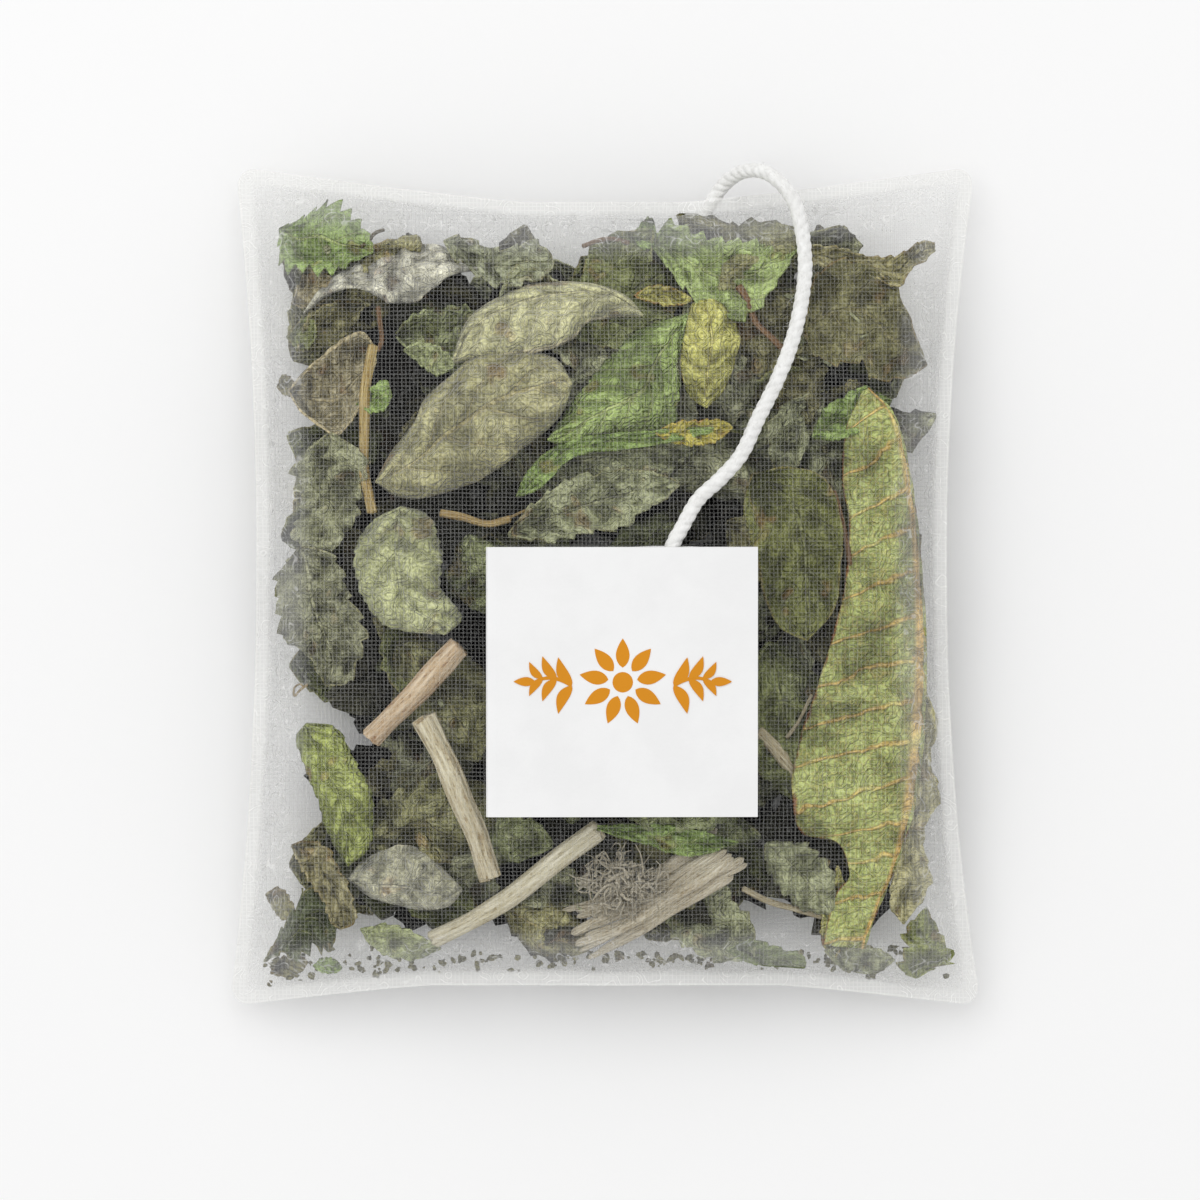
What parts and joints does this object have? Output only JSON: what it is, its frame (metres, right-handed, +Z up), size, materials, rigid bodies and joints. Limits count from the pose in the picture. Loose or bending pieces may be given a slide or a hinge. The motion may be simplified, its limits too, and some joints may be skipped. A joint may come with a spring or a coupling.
{
  "type": "herbal tea bag",
  "caption": "See-through gauze tea bag filled with dried leaves and stems, with a cotton string and a square card tag.",
  "frame": {"origin": "on the surface that the bag lies on, under the middle of the bag", "axes": "+X across the bag, +Y up the bag towards the seam that the string comes out of, +Z up through the front sheet"},
  "size_m": [0.0704, 0.0789, 0.0215],
  "materials": {
    "gauze": "matt",
    "cotton": "matt",
    "card": "matt",
    "olive_leaf": "matt",
    "dark_olive_leaf": "matt",
    "green_leaf": "matt",
    "yellow_green_leaf": "matt",
    "sage_leaf": "matt",
    "khaki_leaf": "matt",
    "moss_leaf": "matt",
    "dark_moss_leaf": "matt",
    "silver_leaf": "matt",
    "silver_green_leaf": "matt",
    "grey_green_leaf": "matt",
    "brown_leaf": "matt",
    "umber_leaf": "matt",
    "pale_stem": "matt",
    "ochre_stem": "matt"
  },
  "bodies": {
    "root": {"arched_leaf": "silver_leaf", "back_leaf_01": "dark_olive_leaf", "back_leaf_02": "grey_green_leaf", "back_leaf_03": "dark_olive_leaf", "back_leaf_04": "grey_green_leaf", "back_leaf_05": "dark_moss_leaf", "back_leaf_06": "moss_leaf", "back_leaf_07": "dark_moss_leaf", "back_leaf_08": "moss_leaf", "back_leaf_09": "khaki_leaf", "back_leaf_10": "olive_leaf", "back_leaf_11": "khaki_leaf", "back_leaf_12": "olive_leaf", "back_leaf_13": "dark_olive_leaf", "back_leaf_14": "grey_green_leaf", "back_leaf_15": "dark_olive_leaf", "back_leaf_16": "grey_green_leaf", "bark_strip": "pale_stem", "broad_leaf": "khaki_leaf", "corner_leaf": "green_leaf", "curled_leaf": "umber_leaf", "dark_leaf": "dark_moss_leaf", "drooping_leaf": "green_leaf", "folded_leaf": "silver_leaf", "foot_corner_leaf": "dark_moss_leaf", "foot_left_leaf": "dark_moss_leaf", "foot_right_leaf": "moss_leaf", "gauze_back": "gauze", "gauze_front": "gauze", "halfmoon_leaf": "sage_leaf", "hem_leaf": "grey_green_leaf", "inner_left_leaf": "dark_olive_leaf", "inner_right_leaf": "dark_moss_leaf", "inner_top_leaf": "dark_moss_leaf", "lobed_leaf": "grey_green_leaf", "long_leaf": "olive_leaf", "long_stem": "pale_stem", "lower_left_leaf": "silver_green_leaf", "middle_foot_leaf": "dark_olive_leaf", "middle_hem_leaf": "moss_leaf", "middle_left_leaf": "grey_green_leaf", "middle_right_leaf": "grey_green_leaf", "middle_top_leaf": "umber_leaf", "mint_leaf": "green_leaf", "rolled_leaf": "umber_leaf", "round_leaf": "moss_leaf", "scrap_leaf": "yellow_green_leaf", "shell_leaf": "brown_leaf", "short_stem": "pale_stem", "shoulder_leaf": "umber_leaf", "side_leaf": "dark_olive_leaf", "slant_stem": "pale_stem", "string": "cotton", "tag": "card", "tag_side_leaf": "grey_green_leaf", "top_left_leaf": "moss_leaf", "top_right_leaf": "dark_olive_leaf", "upper_left_leaf": "silver_green_leaf", "yellow_leaf": "yellow_green_leaf", "yellow_stem": "ochre_stem"}
  },
  "joints": []
}
